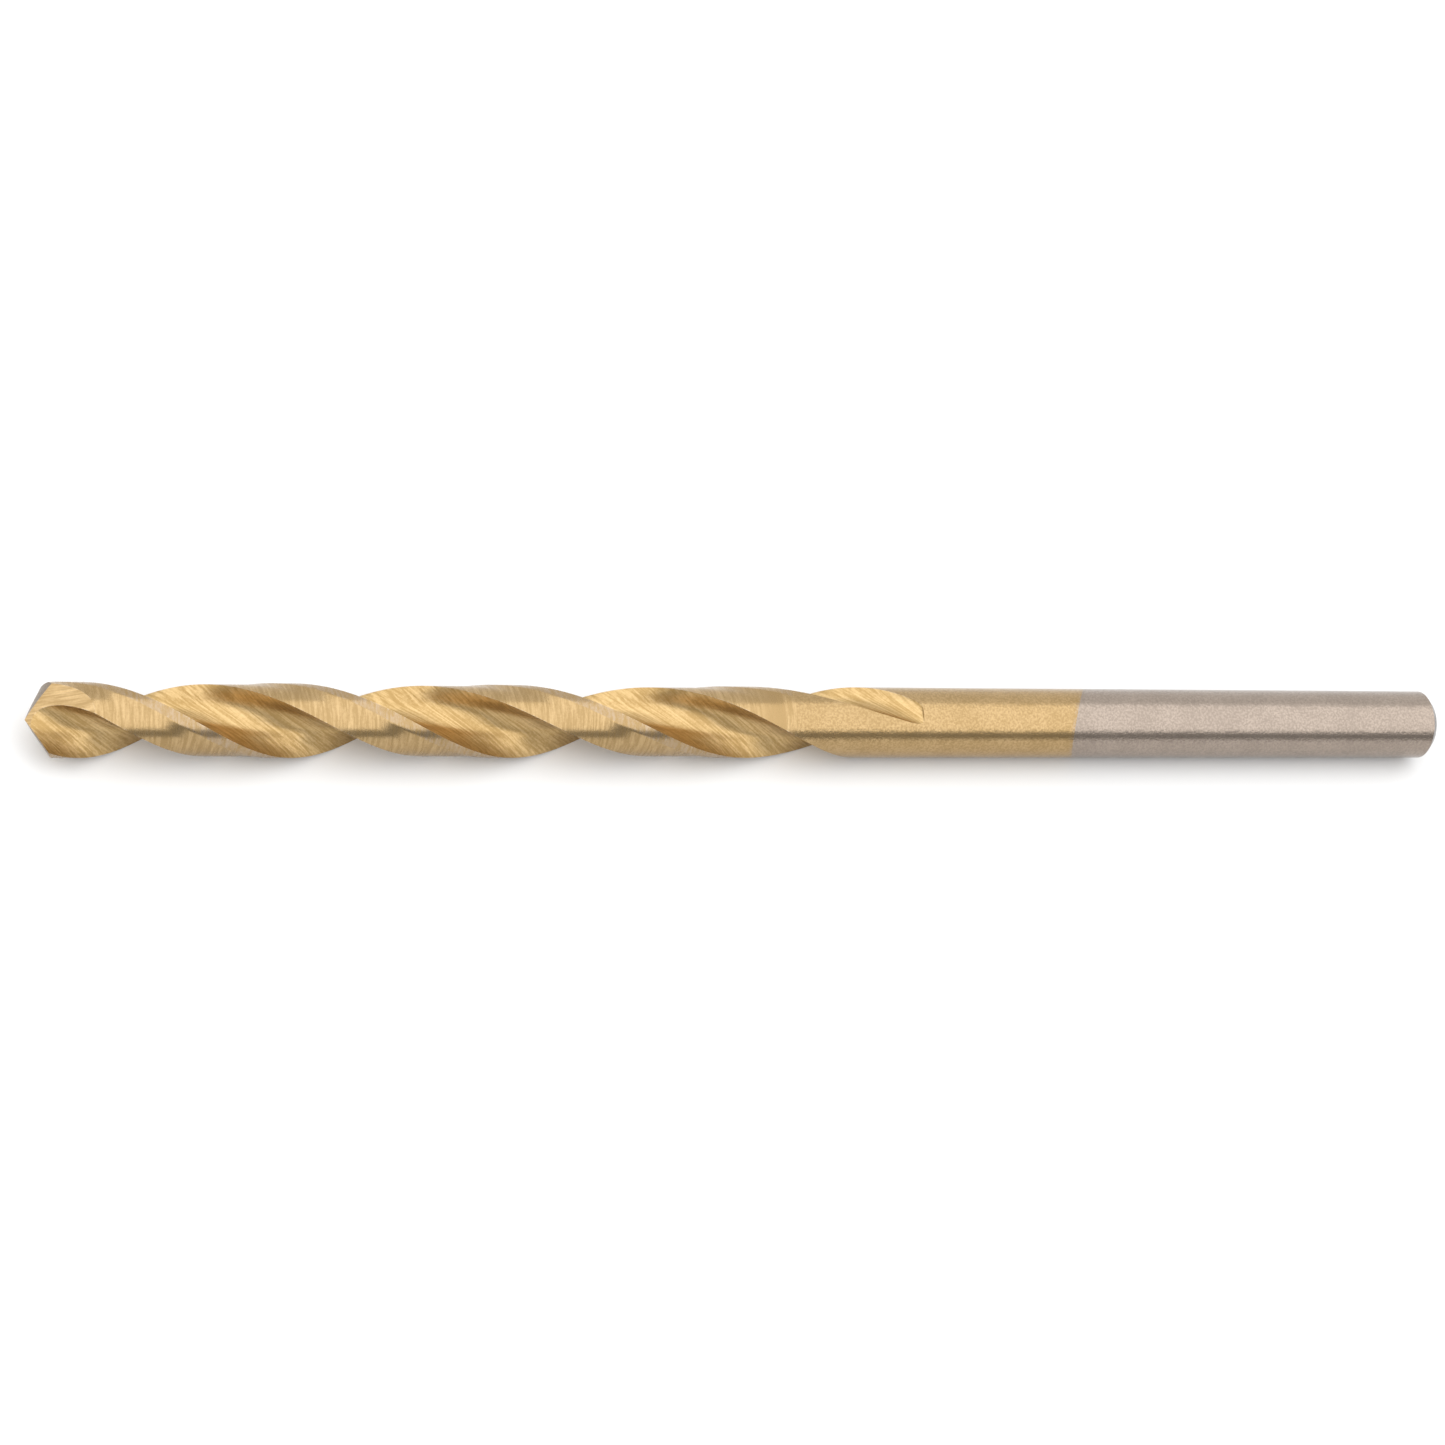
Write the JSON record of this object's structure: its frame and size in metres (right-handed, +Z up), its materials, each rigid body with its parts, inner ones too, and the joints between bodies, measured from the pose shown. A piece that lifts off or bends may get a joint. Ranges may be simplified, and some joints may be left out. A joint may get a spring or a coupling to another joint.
{
  "type": "twist drill bit",
  "caption": "Solid right-hand twist drill with a thinned conical point, helical flutes, gold coating and a bare round shank.",
  "frame": {"origin": "centre of the flat end of the shank", "axes": "+X runs out of the shank end along the drill's axis, so the point faces -X; +Z is up as the drill lies"},
  "size_m": [0.073, 0.0034, 0.0034],
  "materials": {
    "titanium_nitride": "ground steel under a satin gold titanium nitride coating",
    "bare_steel": "satin bare steel, finely mottled"
  },
  "bodies": {
    "root": {"coated_body": "titanium_nitride", "bare_shank": "bare_steel"}
  },
  "joints": []
}
